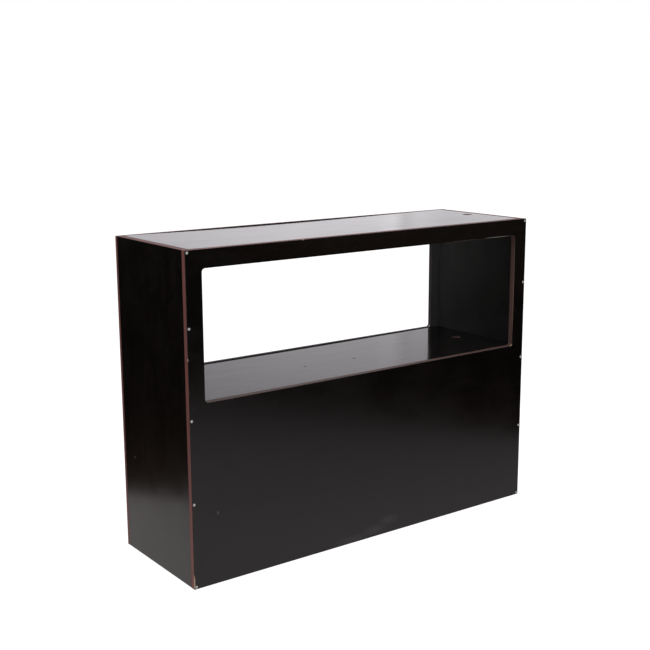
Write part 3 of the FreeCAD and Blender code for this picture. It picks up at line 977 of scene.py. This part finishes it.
for name, (mount_name, depth, lean, finish) in SAGS.items():
    board = sagging_board(name, mount_name, depth, lean, finish)
    print(board.name, "hangs", round(depth / MM, 1), "mm low at mid-span")

# %% [markdown]
# ## Battens
# The boards rest on planed softwood battens inside the ends. Softwood is early wood, pale and soft, and
# late wood, darker and narrow, laid down in rings round the pith. A batten is sawn off to one side of
# the pith, so its faces show the rings as long lines that wander and close into arches. The ring number
# is the distance from a line beside the batten, bent by noise that is slow along the grain.

# %% Planed softwood
EARLY_WOOD = (0.50, 0.34, 0.19)
LATE_WOOD = (0.31, 0.17, 0.075)
RING_WIDTH = 2.6 * MM
RING_BENDS = dict(stretch=(18, 2.2, 18))
RING_BEND = 3.0  # in rings
LATE_GROWS = (0.35, 0.92)
LATE_ENDS = (0.93, 1.0)
FIBRES = dict(stretch=(900, 14, 900), detail=3.0, roughness=0.7)
FIBRE_SHARE = 0.5
FIBRE_HEIGHT = 0.02 * MM
WOOD_ROUGHNESS = (0.62, 0.5)
PITH_OFFSET = (0.021, 0.0, -0.03)
GRAIN_PULL = (1, 0.02, 1)  # draws the pattern out along the grain


def softwood_group():
    """Colour, roughness and height of planed softwood with its grain along y.

    The ring number is the distance from the pith over the ring width, plus the bend. Late wood eases
    in through each ring and ends sharply with it.
    """
    tree, given, result = new_group("planed_softwood", {"Position": "Vector", "Board": "Float"}, FINISH)
    place, board = given["Position"], given["Board"]
    from_pith = vectors(tree, "SUBTRACT", place, PITH_OFFSET)["Vector"]
    away = vectors(tree, "LENGTH", vectors(tree, "MULTIPLY", from_pith, GRAIN_PULL)["Vector"])["Value"]
    bend = times(tree, noise(tree, place, board, **RING_BENDS), RING_BEND)
    ring = maths(tree, "FRACT", maths(tree, "ADD", maths(tree, "DIVIDE", away, RING_WIDTH), bend))
    late = times(tree, ramp(tree, ring, *LATE_GROWS), ramp(tree, ring, *LATE_ENDS, 1.0, 0.0))
    fibres = noise(tree, place, board, **FIBRES)
    fibrous = times(tree, maths(tree, "SUBTRACT", fibres, 0.5), FIBRE_SHARE)
    tone = maths(tree, "ADD", late, fibrous, clamp=True)
    feed(result, Color=mixed(tree, tone, EARLY_WOOD, LATE_WOOD))
    feed(result, Roughness=ramp(tree, late, 0.0, 1.0, *WOOD_ROUGHNESS))
    feed(result, Height=times(tree, maths(tree, "ADD", late, fibres), FIBRE_HEIGHT))
    return tree


SOFTWOOD = softwood_group()
print("group", SOFTWOOD.name)

# %% Battens
BATTEN_SEED_STEP = 1.7


def batten_wood(node_name, seed):
    """Planed softwood, measured from the batten's own middle; each seed is another piece of wood."""
    material, tree = new_material("batten_wood_" + node_name)
    place = sheet_position(tree, node_name, LYING_FLAT)[1]
    wood = use(tree, SOFTWOOD, Position=place, Board=seed)
    finish_material(tree, wood["Height"], Base_Color=wood["Color"], Roughness=wood["Roughness"])
    return material


battens = sorted(name for name in frame["nodes"] if name.endswith("_batten"))
for number, name in enumerate(battens):
    dress(name, batten_wood(name, BATTEN_SEED_STEP * number))
print(len(battens), "battens dressed")

# %% [markdown]
# ## Screws
# A countersunk wood screw is nearly a lathe shape: a flat head, a cone, a plain neck, a thread and a
# point. Two things break the symmetry: the cross recess in the head and the helix of the thread. Both
# fit on one grid of rows along the profile and spokes round the axis. In the head the spokes bend so
# that two of them run along each wall of the recess, which keeps the cross crisp with few faces.

# %% The head of a screw
HEAD_RADIUS = 4.2 * MM
HEAD_EDGE = 0.15 * MM
FLAT_RINGS = (1.7 * MM, 3.3 * MM)  # inside the arms' length, and between their ends and the rim
ARMS = 4
ARM_REACH = 2.45 * MM
ARM_HALF = 0.62 * MM
WALL = 0.14 * MM
RECESS_DEPTH = 2.3 * MM
RECESS_TAPER = 0.75
CORE = (ARM_HALF + WALL) * 1.45  # radius within which the recess is open all round
CORE_RINGS = np.array([0, 0.45, 0.85, 1.0, 1.05]) * CORE
CORE_ROWS = 4  # the fifth ring is the top of the core's wall
SPOKES_PER_ARM = 8
SPOKE_STEP = 2 * pi / ARMS / SPOKES_PER_ARM
ARM_SPOKES = (3, 5)  # first and last spoke inside an arm
STEEPEST = (0.66, 0.69)  # sines of the widest angles of the two spokes at a wall


def spoke_angles(radius, eased):
    """Angles of the spokes at each radius: even where eased is 1, along the arms' walls where it is 0.

    A wall lies at a fixed distance from the middle of its arm, so its angle is the arcsine of that
    distance over the radius, and no more than the steepest.
    """
    inner = np.arcsin(np.minimum(ARM_HALF / np.maximum(radius, ARM_HALF), STEEPEST[0]))
    outer = np.arcsin(np.minimum((ARM_HALF + WALL) / np.maximum(radius, ARM_HALF + WALL), STEEPEST[1]))
    inner = inner * (1 - eased) + SPOKE_STEP * eased
    outer = outer * (1 - eased) + 2 * SPOKE_STEP * eased
    midway = pi / ARMS
    half = np.stack([np.zeros_like(inner), inner, outer, (outer + midway) / 2], axis=1)
    one_arm = np.concatenate([np.full((len(radius), 1), -midway), -half[:, :0:-1], half], axis=1)
    turns = np.arange(ARMS) * (2 * pi / ARMS)
    return (one_arm[:, None, :] + turns[None, :, None]).reshape(len(radius), -1)


def head_grid():
    """Radius, level, and share of the recess's depth, on the rows and spokes of the head.

    The recess falls evenly from a quarter of its depth at the arms' ends to all of it at the middle.
    """
    flat = [FLAT_RINGS[0], ARM_REACH, ARM_REACH + WALL, FLAT_RINGS[1], HEAD_RADIUS - HEAD_EDGE, HEAD_RADIUS]
    radius = np.concatenate([CORE_RINGS, flat])
    height = np.where(radius < HEAD_RADIUS, 0.0, -HEAD_EDGE)
    depth = RECESS_DEPTH * (1 - RECESS_TAPER * radius / ARM_REACH) * (radius <= ARM_REACH)
    spokes = np.arange(ARMS * SPOKES_PER_ARM) % SPOKES_PER_ARM
    in_arm = (spokes >= ARM_SPOKES[0]) & (spokes <= ARM_SPOKES[1])
    in_core = np.arange(len(radius)) < CORE_ROWS
    open_here = in_core[:, None] | in_arm[None, :]
    return radius, height[:, None] - depth[:, None] * open_here, depth[:, None] * open_here / RECESS_DEPTH


print("recess", RECESS_DEPTH / MM, "mm deep, arms of", ARM_REACH / MM, "mm")

# %% The surface of one screw
NECK_RADIUS = 1.95 * MM
ROOT_RADIUS = 1.35 * MM
POINT_RADIUS = 0.45 * MM
NECK_SHARE = 0.3
THREAD_PITCH = 2.6 * MM
RIDGE_HALF = 0.3  # in pitches
ROWS_PER_TURN = 4
POINT_LENGTH = 6 * MM
POINT_TIP = 0.4 * MM


def shaft_grid(length):
    """Radius, level and angle on the rows and spokes of the cone, the neck, the thread and the point.

    The thread's ridge is a tent over the phase, which is the level over the pitch less the angle over
    a full turn. It grows over its first turn, and the whole tapers to the point.
    """
    neck_end = -NECK_SHARE * length
    thread_end = -length + POINT_LENGTH
    rows = int((neck_end - thread_end) / THREAD_PITCH * ROWS_PER_TURN) + 1
    cone_end = -(HEAD_RADIUS - NECK_RADIUS) - HEAD_EDGE
    down = np.linspace(neck_end, thread_end, rows)
    level = np.concatenate([[cone_end], down, [-length + POINT_TIP, -length, -length]])
    angle = spoke_angles(np.full(len(level), HEAD_RADIUS), np.ones(len(level)))
    phase = level[:, None] / THREAD_PITCH - angle / (2 * pi)
    ridge = np.clip(1 - np.abs(phase % 1 - 0.5) / RIDGE_HALF, 0, 1)
    grown = np.clip((neck_end - level) / THREAD_PITCH, 0, 1)[:, None]
    threaded = ROOT_RADIUS + (NECK_RADIUS - ROOT_RADIUS) * ridge
    radius = NECK_RADIUS * (1 - grown) + threaded * grown
    taper = np.clip((level + length) / POINT_LENGTH, 0, 1)[:, None]
    radius = POINT_RADIUS * (1 - taper) + radius * taper
    radius[-1] = 0
    return radius, level, angle


def screw_surface(length):
    """Grid of points, and the recess mask, of a screw: head facing +z at z = 0, point at -length."""
    head_radius, head_level, recess = head_grid()
    eased = np.clip((head_radius - ARM_REACH - WALL) / (HEAD_RADIUS - ARM_REACH - WALL), 0, 1)
    shaft_radius, shaft_level, shaft_angle = shaft_grid(length)
    angle = np.concatenate([spoke_angles(head_radius, eased), shaft_angle])
    spokes = angle.shape[1]
    reach = np.concatenate([np.repeat(head_radius[:, None], spokes, axis=1), shaft_radius])
    level = np.concatenate([head_level, np.repeat(shaft_level[:, None], spokes, axis=1)])
    mask = np.concatenate([recess, np.zeros_like(shaft_radius)])
    return np.stack([reach * np.cos(angle), reach * np.sin(angle), level], axis=-1), mask


print("screw of 50 mm:", screw_surface(50 * MM)[0].shape[:2], "grid")

# %% [markdown]
# Zinc plating is pale and cloudy rather than polished: its fine crystals scatter much of the light, so
# it is treated as part metal, part pale coat. The recess is coloured darker and less metallic the
# deeper it goes. The mask for it comes with the surface as an attribute.

# %% Zinc plating
ZINC = (0.88, 0.87, 0.84)
ZINC_CLOUD = (0.72, 0.73, 0.73)
ZINC_METAL = 0.35
ZINC_ROUGHNESS = (0.38, 0.52)
ZINC_SPAN = (0.3, 0.7)
CLOUD_WAVES = 450.0  # per metre
CRYSTAL_WAVES = 2500.0
CRYSTAL_HEIGHT = 0.02 * MM
# the recess is coloured darker the deeper it goes
RECESS_DARK = (0.035, 0.03, 0.027)
RECESS_DARK_SPAN = (0.05, 0.5)


def zinc_screw():
    """Cloudy zinc, darker and less metallic where the recess mask is high."""
    material, tree = new_material("zinc_screw")
    place = put(tree, "TexCoord").outputs["Object"]
    cloud = put(tree, "TexNoise", Vector=place, Scale=CLOUD_WAVES, Detail=3.0).outputs["Fac"]
    crystals = put(tree, "TexNoise", Vector=place, Scale=CRYSTAL_WAVES, Detail=2.0).outputs["Fac"]
    recess = put(tree, "Attribute", dict(attribute_name="recess")).outputs["Fac"]
    darkened = ramp(tree, recess, *RECESS_DARK_SPAN)
    colour = mixed(tree, darkened, mixed(tree, cloud, ZINC, ZINC_CLOUD), RECESS_DARK)
    metal = ramp(tree, darkened, 0.0, 1.0, ZINC_METAL, 0.0)
    roughness = ramp(tree, cloud, *ZINC_SPAN, *ZINC_ROUGHNESS)
    finish_material(tree, crystals, CRYSTAL_HEIGHT, Base_Color=colour, Metallic=metal, Roughness=roughness)
    return material


ZINC_MATERIAL = zinc_screw()
print("material", ZINC_MATERIAL.name)

# %% [markdown]
# The rows of screws stand where the construction model has them. Along each axis the points of a row
# fall into clumps, one for each screw, so the middles of the clumps are the screws' places, and the box
# of the row gives the plane of the heads. Each screw is turned by its own angle, as driven screws are.

# %% Rows of screws
SCREW_ROWS = {
    "front_left_screws": (0, 1, 0), "front_right_screws": (0, 1, 0),
    "back_left_screws": (0, -1, 0), "back_right_screws": (0, -1, 0),
    "left_batten_screws": (-1, 0, 0), "right_batten_screws": (1, 0, 0),
    "top_panel_fixing_screws": (0, 0, 1), "window_shelf_fixing_screws": (0, 0, 1),
    "storage_shelf_fixing_screws": (0, 0, 1), "bottom_panel_fixing_screws": (0, 0, 1),
}
CLUMP_GAP = 12 * MM
SMOOTH_ANGLE = radians(35)
TWIST_SEED = 7


def clump_middles(values):
    """Middles of the clumps that the sorted values form, with more than the gap between clumps."""
    ordered = np.sort(values)
    clumps = np.split(ordered, np.flatnonzero(np.diff(ordered) > CLUMP_GAP) + 1)
    return [(clump[0] + clump[-1]) / 2 for clump in clumps]


def screw_places(node_name, drive):
    """Places of a row's heads, where the clump middles across the drive meet, and its screws' length."""
    mesh = frame["nodes"][node_name].data
    points = np.empty(len(mesh.vertices) * 3)
    mesh.vertices.foreach_get("co", points)
    points = points.reshape(-1, 3)
    low, high = (np.array(corner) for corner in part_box(node_name))
    axis = int(np.argmax(np.abs(drive)))
    head = low[axis] if drive[axis] > 0 else high[axis]
    middles = [[head] if i == axis else clump_middles(points[:, i]) for i in range(3)]
    places = np.stack(np.meshgrid(*middles, indexing="ij"), axis=-1).reshape(-1, 3)
    return places, high[axis] - low[axis]


def row_of_screws(node_name, drive, twist):
    """All screws of a row in one mesh, each turned about its own axis and driven the row's way."""
    places, length = screw_places(node_name, drive)
    surface, mask = screw_surface(length)
    rows, spokes = mask.shape
    closed = np.concatenate([surface, surface[:, :1]], axis=1)
    mask = np.concatenate([mask, mask[:, :1]], axis=1)
    lie = (-Vector(drive)).to_track_quat("Z", "Y").to_matrix()
    angles = twist.uniform(0, pi / 2, len(places))
    turns = [np.array(lie @ Matrix.Rotation(angle, 3, "Z")) for angle in angles]
    points = np.concatenate([closed.reshape(-1, 3) @ turn.T + place for turn, place in zip(turns, places)])
    faces = grid_quads(rows, spokes + 1).reshape(-1, 4)[:, ::-1]
    faces = np.concatenate([faces + number * mask.size for number in range(len(places))])
    screws = new_piece(node_name + "_zinc", points, faces, ZINC_MATERIAL, "zinc_screw", node_name)
    recess = screws.data.attributes.new("recess", "FLOAT", "POINT")
    recess.data.foreach_set("value", np.tile(mask.reshape(-1), len(places)))
    merge_points(screws)
    screws.data.set_sharp_from_angle(angle=SMOOTH_ANGLE)
    return len(places)


twist = np.random.default_rng(TWIST_SEED)
for name, drive in SCREW_ROWS.items():
    print(name, row_of_screws(name, drive, twist), "screws")

# %% [markdown]
# ## Bringing the scene up to date
# The construction model's box was written down at the start; here the scene is brought up to date.

# %% Update
bpy.context.view_layer.update()
